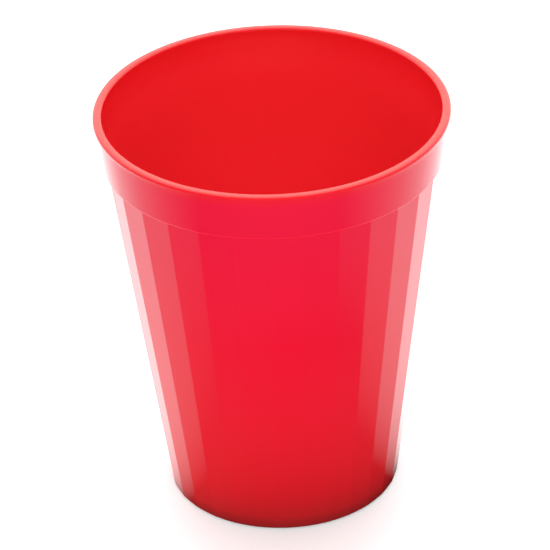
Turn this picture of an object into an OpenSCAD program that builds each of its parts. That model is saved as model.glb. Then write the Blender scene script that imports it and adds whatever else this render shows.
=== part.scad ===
// A one-piece moulded drinking tumbler: a tapered cup with flat-faced flutes,
// a plain flared band under a rounded lip, and a foot ring round a recessed underside.

/* [Rim and band] */
// Outer diameter over the rounded lip
rim_d = 75.5; // [70:0.5:84]
// Width of the lip, from its outer to its inner edge
lip_w = 2; // [1.7:0.1:2.6]
// Height of the rounds on the lip's outer and inner edges
lip_h = 1.4; // [1.2:0.1:1.6]
// How far the outer round runs below its widest point, to the lip's flat underside
lip_tuck = 0.1; // [0.05:0.05:0.3]
// How far the lip stands proud of the band
lip_proud = 0.35; // [0.2:0.05:0.6]
// Depth of the plain band, from the top of the lip to its lower edge
band_depth = 10.7; // [6:0.1:16]
// Flare of the band's outer face, in degrees from upright
band_flare = 6.7; // [4:0.1:9]
// Ledge between the band's lower edge and the flutes' arrises
band_step = 0.55; // [0.4:0.05:0.9]
// Radius that the band's lower edge is rounded to
band_edge_r = 0.35; // [0.2:0.05:0.4]

/* [Body] */
// Height from the table to the top of the lip
height = 90.5; // [80:0.5:110]
// Diameter over the arrises, carried down to the table
base_d = 50; // [46:0.5:56]
// Wall thickness of the body, at an arris
wall = 2; // [1.6:0.1:2.4]
// Radius of the outside corner at the foot
base_round = 2.2; // [1.5:0.1:3]
// Radius of the inside corner at the bottom
inner_round = 4; // [2:0.5:6]
// Thickness of the bottom, above the recess
bottom_t = 2; // [1.5:0.1:3]

/* [Flutes] */
// Number of flutes round the body
flute_count = 30; // [20:1:40]
// Azimuth of the first arris, in degrees from +X
first_arris = 3.26; // [0:0.01:12]

/* [Underside] */
// Width of the flat ring that the tumbler stands on
foot_w = 2; // [1.2:0.1:3]
// Depth of the recess inside the foot ring
recess_depth = 1.2; // [0.6:0.1:2]
// Slope of the recess's side wall, in degrees from upright
recess_slope = 30; // [15:5:60]

/* [Hidden] */
$fn = 180;
plastic = [0.93, 0.1, 0.16];
clear = 1; // how far a cutter runs past what it cuts

// Lip: flat on top between an outer and an inner round. The outer one's widest point is the rim
lip_r = lip_h / 2;
lip_x = rim_d / 2 - lip_r;
lip_in_x = rim_d / 2 - lip_w + lip_r;
lip_z = height - lip_r;

// Band: it flares from its lower edge up to the lip
band_z = height - band_depth;
band_top_r = rim_d / 2 - lip_proud;
band_low_r = band_top_r - (lip_z - band_z) * tan(band_flare);

// The round on the band's lower edge touches the ledge and the band's outer face
edge_x = band_low_r + band_edge_r * tan(band_flare) - band_edge_r / cos(band_flare);
edge_z = band_z + band_edge_r;

// Fluted wall: the arrises run straight from the band's lower edge to the foot
arris_top_r = band_low_r - band_step;
arris_low_r = base_d / 2;
taper = atan((arris_top_r - arris_low_r) / band_z);
flute_step = 360 / flute_count;
face_share = cos(flute_step / 2); // a flat face's distance over its arris's distance
flute_cut_w = 4 * arris_top_r * tan(flute_step / 2);

// Blank: a cone just outside the arrises, that the flutes are cut from. It ends inside the band.
blank_low_r = arris_low_r + band_step;
blank_top_z = band_z + clear;
blank_top_r = blank_low_r + blank_top_z * tan(taper);
foot_x = blank_low_r + base_round * tan(taper) - base_round / cos(taper);
recess_r = foot_x - foot_w;

// Inside: a wall's thickness within the arrises, then up to the lip's inner side
floor_z = recess_depth + bottom_t;
inner_low_r = arris_low_r + floor_z * tan(taper) - wall;
inner_band_r = arris_top_r - wall;
inner_x = inner_low_r + inner_round * tan(taper) - inner_round / cos(taper);
mouth_r = rim_d / 2 - lip_w;

// Outline of the blank, with its rounded foot corner
module blank_outline() {
    polygon([
        [0, 0],
        [foot_x, 0],
        [foot_x + base_round * cos(taper), base_round * (1 - sin(taper))],
        [blank_top_r, blank_top_z],
        [0, blank_top_z]
    ]);
    translate([foot_x, base_round]) circle(r = base_round);
}

// Outline of the lip, with a flat underside outside the band
module lip_outline() {
    difference() {
        union() {
            translate([lip_x, lip_z]) circle(r = lip_r);
            translate([lip_in_x, lip_z]) circle(r = lip_r);
            translate([lip_in_x, lip_z - lip_r]) square([lip_x - lip_in_x, lip_h]);
        }
        translate([lip_in_x, lip_z - lip_r - clear])
            square([lip_w + clear, lip_r + clear - lip_tuck]);
    }
}

// Outline of the band, with its rounded lower edge
module band_outline() {
    polygon([
        [0, band_z],
        [edge_x, band_z],
        [edge_x + band_edge_r * cos(band_flare), edge_z - band_edge_r * sin(band_flare)],
        [band_top_r, lip_z],
        [0, lip_z]
    ]);
    translate([edge_x, edge_z]) circle(r = band_edge_r);
}

// Outline of the space inside, with its rounded bottom corner
module inner_outline() {
    polygon([
        [0, floor_z],
        [inner_x, floor_z],
        [
            inner_x + inner_round * cos(taper),
            floor_z + inner_round * (1 - sin(taper))
        ],
        [inner_band_r, band_z],
        [mouth_r, lip_z],
        [mouth_r, height + clear],
        [0, height + clear]
    ]);
    translate([inner_x, floor_z + inner_round]) circle(r = inner_round);
}

// Outline of the recess in the underside
module recess_outline() {
    polygon([
        [0, -clear],
        [recess_r + clear * tan(recess_slope), -clear],
        [recess_r - recess_depth * tan(recess_slope), recess_depth],
        [0, recess_depth]
    ]);
}

// One flat face: what is cut away outside it, over the blank's whole height
module flute_cut() {
    cut_top = blank_top_z + clear;
    face_slope = (arris_top_r - arris_low_r) * face_share / band_z;
    face_low = arris_low_r * face_share;
    outside = rim_d / 2 + clear;
    rotate([90, 0, 0])
        linear_extrude(height = flute_cut_w, center = true)
            polygon([
                [face_low - face_slope * clear, -clear],
                [outside, -clear],
                [outside, cut_top],
                [face_low + face_slope * cut_top, cut_top]
            ]);
}

// Solid fluted body, from the foot up to just inside the band
module fluted_body() {
    difference() {
        rotate_extrude() blank_outline();
        for (i = [0 : flute_count - 1])
            rotate([0, 0, first_arris + (i + 0.5) * flute_step]) flute_cut();
    }
}

module tumbler() {
    color(plastic) difference() {
        union() {
            fluted_body();
            rotate_extrude() {
                band_outline();
                lip_outline();
            }
        }
        rotate_extrude() inner_outline();
        rotate_extrude() recess_outline();
    }
}

tumbler();
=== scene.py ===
"""A red moulded plastic tumbler with flat-faced flutes, on a plain white studio floor."""
from math import asin, atan, cos, degrees, pi, radians, sin, sqrt, tan

import bpy
from mathutils import Matrix, Vector


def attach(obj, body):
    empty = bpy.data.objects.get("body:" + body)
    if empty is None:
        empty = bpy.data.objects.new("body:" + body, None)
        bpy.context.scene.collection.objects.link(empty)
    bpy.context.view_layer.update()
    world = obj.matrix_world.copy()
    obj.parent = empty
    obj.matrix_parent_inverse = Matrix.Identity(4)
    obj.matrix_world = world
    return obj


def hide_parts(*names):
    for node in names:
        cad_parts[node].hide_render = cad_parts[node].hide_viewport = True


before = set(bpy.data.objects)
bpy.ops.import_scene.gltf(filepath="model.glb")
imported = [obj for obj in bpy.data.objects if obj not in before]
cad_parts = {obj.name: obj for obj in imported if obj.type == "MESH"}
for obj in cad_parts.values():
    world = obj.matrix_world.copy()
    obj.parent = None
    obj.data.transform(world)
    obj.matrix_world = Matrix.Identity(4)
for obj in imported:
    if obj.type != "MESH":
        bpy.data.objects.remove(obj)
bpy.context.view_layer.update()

MM = 0.001

# The tumbler's own sizes, in millimetres, as its construction has them
RIM_D = 75.5
LIP_W = 2.0
LIP_H = 1.4
LIP_TUCK = 0.1
LIP_PROUD = 0.35
BAND_DEPTH = 10.7
BAND_FLARE = radians(6.7)
BAND_STEP = 0.55
BAND_EDGE_R = 0.35
HEIGHT = 90.5
BASE_D = 50.0
WALL = 2.0
BASE_ROUND = 2.2
INNER_ROUND = 4.0
BOTTOM_T = 2.0
FLUTE_COUNT = 30
FIRST_ARRIS = radians(3.26)
FOOT_W = 2.0
RECESS_DEPTH = 1.2
RECESS_SLOPE = radians(30)

# How far the mould softens the arrises, the ledge, the lip's underside, the recess, and the
# change from the flats to the foot's round
ARRIS_SOFT = 0.16
LEDGE_SOFT = 0.2
TUCK_SOFT = 0.1
FOOT_SOFT = 0.25
FLAT_SOFT = 0.12

# Worked out from them
LIP_R = LIP_H / 2
LIP_X = RIM_D / 2 - LIP_R
LIP_IN_X = RIM_D / 2 - LIP_W + LIP_R
LIP_Z = HEIGHT - LIP_R
BAND_Z = HEIGHT - BAND_DEPTH
BAND_TOP_R = RIM_D / 2 - LIP_PROUD
BAND_LOW_R = BAND_TOP_R - (LIP_Z - BAND_Z) * tan(BAND_FLARE)
EDGE_X = BAND_LOW_R + BAND_EDGE_R * tan(BAND_FLARE) - BAND_EDGE_R / cos(BAND_FLARE)
EDGE_Z = BAND_Z + BAND_EDGE_R
ARRIS_TOP_R = BAND_LOW_R - BAND_STEP
ARRIS_LOW_R = BASE_D / 2
TAPER = atan((ARRIS_TOP_R - ARRIS_LOW_R) / BAND_Z)
FLUTE_STEP = 2 * pi / FLUTE_COUNT
ARRIS_ANGLE = ARRIS_SOFT / ARRIS_TOP_R
FOOT_X = ARRIS_LOW_R + BAND_STEP + BASE_ROUND * tan(TAPER) - BASE_ROUND / cos(TAPER)
RECESS_R = FOOT_X - FOOT_W
FLOOR_Z = RECESS_DEPTH + BOTTOM_T
INNER_LOW_R = ARRIS_LOW_R + FLOOR_Z * tan(TAPER) - WALL
INNER_X = INNER_LOW_R + INNER_ROUND * tan(TAPER) - INNER_ROUND / cos(TAPER)

# Columns of the mesh: beside an arris as shares of ARRIS_ANGLE, across a flat of FLUTE_STEP
ARRIS_SHARES = (0, 0.35, 0.7, 1, 1.6)
FACE_SHARES = (0.15, 0.3)
# Heights of the rows in the ledge's hollow corner, as shares of LEDGE_SOFT
HOLLOW_SHARES = (0.3, 0.6, 0.85, 1.0)
# Distances of the rows that hold the shading close to an edge
WALL_SUPPORT = 0.15
BAND_SUPPORT = 0.1
FOOT_SUPPORT = 0.05
# Radius of the small ring round the middle of the underside and of the well
CENTRE_R = 1.0

# The photograph's frame and the camera that was fitted to it
IMAGE_PX = 550
FOCAL_PX = 4000
SENSOR_MM = 36.0
CAM_ELEVATION = radians(31.3)
CAM_ROLL = radians(-2.1)
CAM_DISTANCE = 861.7
CAM_TARGET = Vector((-0.56, 0.0, 49.37))

# Reds in the well and up to the lip, then up the outside, and their heights in millimetres. They
# are one red with painted light and shade that changes with height.
# Inside, painted light: the red is lighter deep in the well, where less light reaches, than at the lip
RED_WELL = (0.885, 0.037, 0.055, 1)
RED_INNER = (0.84, 0.027, 0.034, 1)
RED_MOUTH = (0.86, 0.020, 0.028, 1)
RED_LIP = (0.83, 0.0125, 0.018, 1)
WELL_Z = 50
INNER_Z = 70
MOUTH_Z = 84
LIP_LOW_Z = 89
# Outside, painted shade darkens the sole and foot. Painted light makes the red lightest low on the
# wall, and it grows darker up to the band, where more light falls.
RED_SOLE_SHADE = (0.64, 0.030, 0.032, 1)
RED_FOOT = (0.90, 0.026, 0.032, 1)
RED_LOW = (0.96, 0.018, 0.028, 1)
RED_QUARTER = (0.895, 0.012, 0.028, 1)
RED_MIDDLE = (0.83, 0.003, 0.0265, 1)
RED_HIGH = (0.775, 0.0035, 0.036, 1)
SOLE_Z = 1
FOOT_Z = 3.5
LOW_Z = 9
QUARTER_Z = 25
MIDDLE_Z = 50
HIGH_Z = 78

# The outside's red gives way to the inside's across the middle of the wall, and towards the
# lip's top, with LIP_SHARE of it left at the height of the lip's outer round
WALL_BLEND = 0.5
LIP_FADE = 3.0
LIP_SHARE = 0.6

# A painted highlight, a paler red on the band's rounded lower edge: its middle's height above that
# edge, and how far from there it is full and ends
RED_EDGE_HIGHLIGHT = (0.95, 0.014, 0.050, 1)
HIGHLIGHT_RISE = 0.1
HIGHLIGHT_FULL = 0.12
HIGHLIGHT_END = 0.32

# Finish of the plastic: a slow drift of shade and gloss, and a fine speckle in its surface
DRIFT_SCALE = 35.0
SPECKLE_SCALE = 900.0
SPECKLE_SHARE = 0.4
SHADE_LEAST = 0.985
SHADE_DRIFT = 0.03
ROUGHNESS_LEAST = 0.14
ROUGHNESS_DRIFT = 0.04
PLASTIC_IOR = 1.58
BUMP_STRENGTH = 0.02
BUMP_DEPTH = 0.0002

# Brightest thing that the gloss mirrors, on the floor and in the sky
BRIGHT = 2.2

# What the gloss mirrors on the floor: beside the tumbler, how much more behind it and less in
# front of it, and how much more to the right. The NEAR values count most close to the foot, and
# there the right is the darker side.
FLOOR_BESIDE = 1.12
FLOOR_BACK = 1.25
FLOOR_BACK_NEAR = 0.038
FLOOR_RIGHT = 0.195
FLOOR_RIGHT_NEAR = 0.0142
# Straight behind the tumbler the floor mirrors darker
BEHIND_FROM = 0.88
BEHIND_LESS = 0.65

# How the floor lights the plastic's own red: not at all near the foot, then more over a ramp
SPILL_FROM = 0.036
SPILL_RIGHT = 0.009
SPILL_RAMP = 0.07
SPILL_STEEPER = 0.06
SPILL_ASIDE = 0.9
SPILL_MOST = 1.55
SPILL_LESS = 0.4

# The floor as the camera sees it
FLOOR_HALF = 6.0
FLOOR_WHITE = (0.85, 0.85, 0.85, 1)
FLOOR_GLOW = 0.35

# What the gloss mirrors in the sky, by direction, its tint, and how the sky lights the red
SKY_BACK = 1.25
SKY_UP = 1.6
SKY_ASIDE = 0.4
SKY_FRONT_LESS = 0.75
SKY_TINT = (1, 0.95, 0.82, 1)
SKY_WHITE = (1, 1, 1, 1)
SKY_FILL = 0.5

# Sockets of the Mix node when it mixes colours
MIX_FACTOR = 0
MIX_START = 6
MIX_END = 7
MIX_RESULT = 2


def camera():
    """The photograph's view: from the front, looking down, with a slight roll."""
    back = Vector((0, -cos(CAM_ELEVATION), sin(CAM_ELEVATION)))
    right = Vector((1, 0, 0))
    up = back.cross(right)
    rolled_right = cos(CAM_ROLL) * right + sin(CAM_ROLL) * up
    rolled_up = back.cross(rolled_right)
    place = (CAM_TARGET + CAM_DISTANCE * back) * MM
    data = bpy.data.cameras.new("studio_camera")
    data.sensor_width = SENSOR_MM
    data.lens = FOCAL_PX / IMAGE_PX * SENSOR_MM
    data.clip_start = 0.05
    data.clip_end = 20
    cam = bpy.data.objects.new("studio_camera", data)
    turn = Matrix((rolled_right, rolled_up, back)).transposed().to_4x4()
    cam.matrix_world = Matrix.Translation(place) @ turn
    bpy.context.collection.objects.link(cam)
    bpy.context.scene.camera = cam


class Value:
    """A shader socket whose arithmetic adds Math nodes."""

    def __init__(self, tree, socket):
        self.tree = tree
        self.socket = socket

    def math(self, operation, *others, swap=False):
        inputs = [self, *others]
        if swap:
            inputs.reverse()
        return node(self.tree, "ShaderNodeMath", {"operation": operation}, dict(enumerate(inputs)))

    def __add__(self, other):
        return self.math("ADD", other)

    def __radd__(self, other):
        return self.math("ADD", other, swap=True)

    def __sub__(self, other):
        return self.math("SUBTRACT", other)

    def __rsub__(self, other):
        return self.math("SUBTRACT", other, swap=True)

    def __mul__(self, other):
        return self.math("MULTIPLY", other)

    def __rmul__(self, other):
        return self.math("MULTIPLY", other, swap=True)

    def __truediv__(self, other):
        return self.math("DIVIDE", other)

    def __rtruediv__(self, other):
        return self.math("DIVIDE", other, swap=True)


def node(tree, kind, settings=None, inputs=None, output=0):
    """Adds one node: its settings first, then the values or links of its sockets."""
    made = tree.nodes.new(kind)
    for name, value in (settings or {}).items():
        if name == "stops":
            ramp = made.color_ramp
            while len(ramp.elements) < len(value):
                ramp.elements.new(1.0)
            for element, (place, colour) in zip(ramp.elements, value):
                element.position = place
                element.color = colour
        else:
            setattr(made, name, value)
    for name, value in (inputs or {}).items():
        if isinstance(value, Value):
            tree.links.new(value.socket, made.inputs[name])
        else:
            made.inputs[name].default_value = value
    return Value(tree, made.outputs[output]) if made.outputs else None


def several(value, *names):
    """The named outputs of the node that a value comes from."""
    return [Value(value.tree, value.socket.node.outputs[name]) for name in names]


def clamp01(value):
    """Keeps a shader value between 0 and 1."""
    return value.math("MAXIMUM", 0.0).math("MINIMUM", 1.0)


def mix_colour(tree, factor, start, end):
    """A colour on the way from one to another, by a factor from 0 to 1."""
    sockets = {MIX_FACTOR: factor, MIX_START: start, MIX_END: end}
    return node(tree, "ShaderNodeMix", {"data_type": "RGBA"}, sockets, output=MIX_RESULT)


def split(tree, way):
    """The three numbers of a place or a direction."""
    return several(node(tree, "ShaderNodeSeparateXYZ", {}, {"Vector": way}), "X", "Y", "Z")


def ray_kinds(tree):
    """Whether a ray comes from the camera, and whether it comes from the gloss."""
    return several(node(tree, "ShaderNodeLightPath"), "Is Camera Ray", "Is Glossy Ray")


def new_material(name):
    """An empty node material and its tree."""
    material = bpy.data.materials.new(name)
    material.use_nodes = True
    material.node_tree.nodes.clear()
    return material, material.node_tree


def by_height(tree, height, stops):
    """A colour that changes with height, from stops in millimetres."""
    return node(
        tree, "ShaderNodeValToRGB",
        {"stops": [(place / HEIGHT, colour) for place, colour in stops]},
        {"Fac": height / HEIGHT})


def red_with_painted_shading(tree, place):
    """The plastic's red with painted shading by height, inside and outside, and a painted highlight on
    the band's edge.
    """
    x, y, z = split(tree, place)
    height = z / MM
    radius = (x * x + y * y).math("SQRT") / MM
    mid_wall = (height - FLOOR_Z) * tan(TAPER) + (INNER_LOW_R + WALL / 2)
    below_lip = clamp01((HEIGHT - LIP_H - height) / LIP_FADE + LIP_SHARE)
    outside = clamp01((radius - mid_wall) / WALL_BLEND + 0.5) * below_lip
    # Painted light inside: lighter deep in the well
    inner_red_painted_shading = by_height(tree, height, [
        (WELL_Z, RED_WELL), (INNER_Z, RED_INNER), (MOUTH_Z, RED_MOUTH), (LIP_LOW_Z, RED_LIP)])
    # Painted shade and light outside: dark at the sole, lightest low on the wall, darker up to the
    # band
    wall_red_painted_shading = by_height(tree, height, [
        (SOLE_Z, RED_SOLE_SHADE), (FOOT_Z, RED_FOOT), (LOW_Z, RED_LOW), (QUARTER_Z, RED_QUARTER),
        (MIDDLE_Z, RED_MIDDLE), (HIGH_Z, RED_HIGH)])
    # Painted highlight on the band's rounded lower edge
    from_edge = (height - (BAND_Z + HIGHLIGHT_RISE)).math("ABSOLUTE")
    painted_highlight = clamp01((HIGHLIGHT_END - from_edge) / (HIGHLIGHT_END - HIGHLIGHT_FULL)) * outside
    return mix_colour(tree, painted_highlight, mix_colour(tree, outside, inner_red_painted_shading, wall_red_painted_shading), RED_EDGE_HIGHLIGHT)


def moulded_plastic():
    """Glossy red moulded plastic, whose red has painted light and shade by height outside and inside.
    """
    material, tree = new_material("moulded_red_plastic")
    place = node(tree, "ShaderNodeTexCoord", output="Object")
    drift = node(
        tree, "ShaderNodeTexNoise", {}, {"Vector": place, "Scale": DRIFT_SCALE, "Detail": 2.0})
    speckle = node(
        tree, "ShaderNodeTexNoise", {}, {"Vector": place, "Scale": SPECKLE_SCALE, "Detail": 3.0})
    shade = node(
        tree, "ShaderNodeHueSaturation", {},
        {"Color": red_with_painted_shading(tree, place), "Value": SHADE_LEAST + SHADE_DRIFT * drift})
    bump = node(
        tree, "ShaderNodeBump", {},
        {"Height": speckle * SPECKLE_SHARE + drift, "Strength": BUMP_STRENGTH,
         "Distance": BUMP_DEPTH})
    gloss = node(
        tree, "ShaderNodeBsdfPrincipled", {},
        {"Base Color": shade, "Roughness": ROUGHNESS_LEAST + ROUGHNESS_DRIFT * drift,
         "IOR": PLASTIC_IOR, "Normal": bump})
    node(tree, "ShaderNodeOutputMaterial", {}, {"Surface": gloss})
    return material


def flute_azimuths():
    """Azimuths of the mesh's columns: close together at each arris, sparse on the flats."""
    offsets = [ARRIS_ANGLE * share for share in ARRIS_SHARES]
    offsets += [FLUTE_STEP * share for share in FACE_SHARES]
    one = offsets + [FLUTE_STEP / 2] + [FLUTE_STEP - a for a in reversed(offsets[1:])]
    return [FIRST_ARRIS + i * FLUTE_STEP + a for i in range(FLUTE_COUNT) for a in one]


def flat_share(azimuth):
    """A flat face's distance from the axis over its arris's, with the arris rounded off."""
    from_arris = abs((azimuth - FIRST_ARRIS + FLUTE_STEP / 2) % FLUTE_STEP - FLUTE_STEP / 2)
    eased = from_arris
    if from_arris < ARRIS_ANGLE:
        eased = (from_arris ** 2 / ARRIS_ANGLE + ARRIS_ANGLE) / 2
    return cos(FLUTE_STEP / 2) / cos(FLUTE_STEP / 2 - eased)


def smooth_min(a, b, soft):
    """The smaller of two radii, with a rounded change from one to the other."""
    gap = max(soft - abs(a - b), 0) / soft
    return min(a, b) - gap * gap * soft / 4


def arc(cx, cz, r, start, end, steps):
    """Points on an arc, as radius and height, from one angle to another in degrees."""
    turn = [radians(start + (end - start) * i / steps) for i in range(steps + 1)]
    return [(cx + r * cos(t), cz + r * sin(t)) for t in turn]


def line(a, b, steps):
    """Points after a, up to and with b, evenly spaced."""
    return [(a[0] + (b[0] - a[0]) * i / steps, a[1] + (b[1] - a[1]) * i / steps)
            for i in range(1, steps + 1)]


def arris_r(z):
    """Radius of an arris at a height."""
    return ARRIS_LOW_R + (ARRIS_TOP_R - ARRIS_LOW_R) * z / BAND_Z


def underside_rows():
    """From the middle of the underside out to the foot ring, with the recess's corners eased."""
    in_r = RECESS_R - RECESS_DEPTH * tan(RECESS_SLOPE)
    middle = (CENTRE_R, RECESS_DEPTH)
    rows = [middle] + line(middle, (in_r - FOOT_SOFT, RECESS_DEPTH), steps=6)
    rows += [(in_r - FOOT_SOFT * 0.3, RECESS_DEPTH - FOOT_SOFT * 0.12)]
    rows += [(in_r + FOOT_SOFT * 0.25, RECESS_DEPTH - FOOT_SOFT * 0.5)]
    rows += line(rows[-1], (RECESS_R - FOOT_SOFT * 0.3, FOOT_SOFT * 0.55), steps=3)
    rows += [(RECESS_R + FOOT_SOFT * 0.1, FOOT_SOFT * 0.12), (RECESS_R + FOOT_SOFT * 0.6, 0.0)]
    return rows + line(rows[-1], (FOOT_X - FOOT_SUPPORT, 0.0), steps=3)


def fluted_rows():
    """The foot's rounded corner and the fluted wall: the rows whose radius the flats cut."""
    rows = arc(FOOT_X, BASE_ROUND, BASE_ROUND, -90, -degrees(TAPER), steps=22)
    start = rows[-1]
    top_z = BAND_Z - LEDGE_SOFT
    end = (start[0] + (top_z - start[1]) * tan(TAPER), top_z)
    near_end = (end[0] - WALL_SUPPORT * tan(TAPER), end[1] - WALL_SUPPORT)
    return rows + line(start, near_end, steps=26) + [end]


def ledge_rows():
    """The hollow corner under the band: how far each row stands out from the flats, and its height."""
    return [(LEDGE_SOFT * (1 - sqrt(1 - share * share)), BAND_Z - LEDGE_SOFT + LEDGE_SOFT * share)
            for share in HOLLOW_SHARES]


def band_rows():
    """The band: its rounded lower edge, then its flared face up to just below the lip."""
    edge = arc(EDGE_X, EDGE_Z, BAND_EDGE_R, -90, -degrees(BAND_FLARE), steps=12)
    start_z = EDGE_Z + BAND_SUPPORT
    start = (BAND_LOW_R + (start_z - BAND_Z) * tan(BAND_FLARE), start_z)
    end_z = LIP_Z - LIP_TUCK - BAND_SUPPORT
    end = (BAND_TOP_R - (LIP_TUCK + BAND_SUPPORT) * tan(BAND_FLARE), end_z)
    return edge + [start] + line(start, end, steps=8)


def lip_rows():
    """The lip: its flat underside, its outer round, its flat top and its inner round."""
    tuck_deg = degrees(asin(LIP_TUCK / LIP_R))
    rounds = arc(LIP_X, LIP_Z, LIP_R, -tuck_deg, 90, steps=16)
    lip_x = rounds[0][0]
    rounds += arc(LIP_IN_X, LIP_Z, LIP_R, 90, 180, steps=12)
    under_z = LIP_Z - LIP_TUCK
    band_x = BAND_TOP_R - LIP_TUCK * tan(BAND_FLARE)
    under = [
        (band_x + TUCK_SOFT * 0.2, under_z - TUCK_SOFT * 0.3),
        (band_x + TUCK_SOFT * 0.8, under_z),
        (lip_x - TUCK_SOFT * 0.6, under_z),
        (lip_x - TUCK_SOFT * 0.15, under_z + TUCK_SOFT * 0.1)]
    return under + rounds[1:]


def inside_rows(top):
    """The inside, from the lip's inner round down the wall to the middle of the well."""
    band_in = (ARRIS_TOP_R - WALL, BAND_Z)
    corner = arc(
        INNER_X, FLOOR_Z + INNER_ROUND, INNER_ROUND, -degrees(TAPER), -90, steps=14)
    rows = line(top, band_in, steps=6) + line(band_in, corner[0], steps=20) + corner[1:]
    return rows + line(corner[-1], (CENTRE_R, FLOOR_Z), steps=6)


def tumbler_rings(azimuths):
    """Every ring of the skin, from the middle of the underside round to the middle of the well."""
    rings = [[row] * len(azimuths) for row in underside_rows()]
    for r, z in fluted_rows():
        cut = arris_r(z)
        rings.append([(smooth_min(r, cut * flat_share(a), FLAT_SOFT), z) for a in azimuths])
    for out, z in ledge_rows():
        cut = arris_r(z)
        rings.append([(cut * flat_share(a) + out, z) for a in azimuths])
    lip = lip_rows()
    rings += [[row] * len(azimuths) for row in band_rows() + lip + inside_rows(lip[-1])]
    return rings


def tumbler_mesh():
    """The whole tumbler as one closed skin of rings and columns, with a fan at each end."""
    azimuths = flute_azimuths()
    rings = tumbler_rings(azimuths)
    columns = len(azimuths)
    points = [(r * cos(a) * MM, r * sin(a) * MM, z * MM)
              for ring in rings for a, (r, z) in zip(azimuths, ring)]
    faces = []
    for j in range(len(rings) - 1):
        low, high = j * columns, (j + 1) * columns
        for i in range(columns):
            k = (i + 1) % columns
            faces.append((low + i, low + k, high + k, high + i))
    points += [(0, 0, RECESS_DEPTH * MM), (0, 0, FLOOR_Z * MM)]
    under, well = len(points) - 2, len(points) - 1
    last = (len(rings) - 1) * columns
    for i in range(columns):
        k = (i + 1) % columns
        faces.append((under, k, i))
        faces.append((last + i, last + k, well))
    mesh = bpy.data.meshes.new("moulded_tumbler")
    mesh.from_pydata(points, [], faces)
    mesh.validate()
    mesh.polygons.foreach_set("use_smooth", [True] * len(mesh.polygons))
    mesh.update()
    return mesh


def tumbler():
    """The moulded tumbler, which stands for the CAD solid of the same form."""
    piece = bpy.data.objects.new("moulded_tumbler", tumbler_mesh())
    bpy.context.collection.objects.link(piece)
    piece.data.materials.append(moulded_plastic())
    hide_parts("tumbler")
    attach(piece, "root")


def floor_in_gloss(across, back, far):
    """What the gloss mirrors on the floor: dark in front, bright beside and behind."""
    level = (FLOOR_BESIDE + back * (FLOOR_BACK + FLOOR_BACK_NEAR / far)
             - across * (FLOOR_RIGHT_NEAR / far - FLOOR_RIGHT))
    fade = 1 - BEHIND_LESS * clamp01((back - BEHIND_FROM) / (1 - BEHIND_FROM))
    return clamp01(level / BRIGHT) * fade * BRIGHT


def floor_spill(across, back, far):
    """How the floor lights the plastic's own red, over a ramp that narrows from front to back.

    A little behind the sides the ramp's width passes zero. From there on the floor gives such
    light only close to the foot."""
    aside = 1 + back
    width = SPILL_RAMP - aside * SPILL_STEEPER
    near = clamp01((far - SPILL_FROM - across * SPILL_RIGHT) / width + aside * SPILL_ASIDE)
    return near * (SPILL_MOST - aside * SPILL_LESS)


def white_floor():
    """White to the camera, and by direction and distance to the rays that light the plastic."""
    material, tree = new_material("white_floor")
    is_camera, is_glossy = ray_kinds(tree)
    x, y, _ = split(tree, node(tree, "ShaderNodeNewGeometry", output="Position"))
    far = (x * x + y * y).math("SQRT")
    back = y / far
    across = x / far
    mirrored = floor_in_gloss(across, back, far)
    strength = mirrored * is_glossy + floor_spill(across, back, far) * (1 - is_glossy)
    unseen = node(tree, "ShaderNodeEmission", {}, {"Strength": strength})
    white = node(tree, "ShaderNodeBsdfDiffuse", {}, {"Color": FLOOR_WHITE})
    glow = node(tree, "ShaderNodeEmission", {}, {"Strength": FLOOR_GLOW})
    seen = node(tree, "ShaderNodeAddShader", {}, {0: white, 1: glow})
    surface = node(tree, "ShaderNodeMixShader", {}, {0: is_camera, 1: unseen, 2: seen})
    node(tree, "ShaderNodeOutputMaterial", {}, {"Surface": surface})
    return material


def floor():
    """The plain studio floor that the tumbler stands on."""
    corners = [
        (-FLOOR_HALF, -FLOOR_HALF, 0), (FLOOR_HALF, -FLOOR_HALF, 0),
        (FLOOR_HALF, FLOOR_HALF, 0), (-FLOOR_HALF, FLOOR_HALF, 0)]
    mesh = bpy.data.meshes.new("studio_floor")
    mesh.from_pydata(corners, [], [(0, 1, 2, 3)])
    mesh.materials.append(white_floor())
    piece = bpy.data.objects.new("studio_floor", mesh)
    bpy.context.collection.objects.link(piece)


def soft_light(name, place, aim, size, power):
    """A square soft box, which the gloss doesn't mirror."""
    data = bpy.data.lights.new(name, "AREA")
    data.shape = "SQUARE"
    data.size = size
    data.energy = power
    lamp = bpy.data.objects.new(name, data)
    lamp.location = place
    lamp.visible_glossy = False
    lamp.rotation_euler = (Vector(aim) - Vector(place)).to_track_quat("-Z", "Y").to_euler()
    bpy.context.collection.objects.link(lamp)


def sky():
    """Surroundings that are white to the camera, and bright behind and above to the gloss."""
    world = bpy.data.worlds.new("studio")
    bpy.context.scene.world = world
    world.use_nodes = True
    tree = world.node_tree
    tree.nodes.clear()
    is_camera, is_glossy = ray_kinds(tree)
    across, back, up = split(tree, node(tree, "ShaderNodeTexCoord", output="Generated"))
    aside = across.math("ABSOLUTE")
    mirrored = clamp01(
        back * SKY_BACK + up * SKY_UP + aside * SKY_ASIDE - SKY_FRONT_LESS) * BRIGHT
    strength = is_camera + mirrored * is_glossy + SKY_FILL * (1 - is_camera - is_glossy)
    tint = mix_colour(tree, is_glossy, SKY_WHITE, SKY_TINT)
    background = node(tree, "ShaderNodeBackground", {}, {"Color": tint, "Strength": strength})
    node(tree, "ShaderNodeOutputWorld", {}, {"Surface": background})


def studio():
    """The surroundings, and soft boxes above and in front."""
    sky()
    soft_light("soft_box_top", place=(0, 0.3, 1.05), aim=(0, 0, 0.05), size=0.8, power=11.5)
    soft_light("soft_box_front", place=(0, -1.1, 0.9), aim=(0, 0, 0.06), size=1.2, power=7.2)


bpy.context.scene.view_settings.view_transform = "Standard"
camera()
tumbler()
floor()
studio()
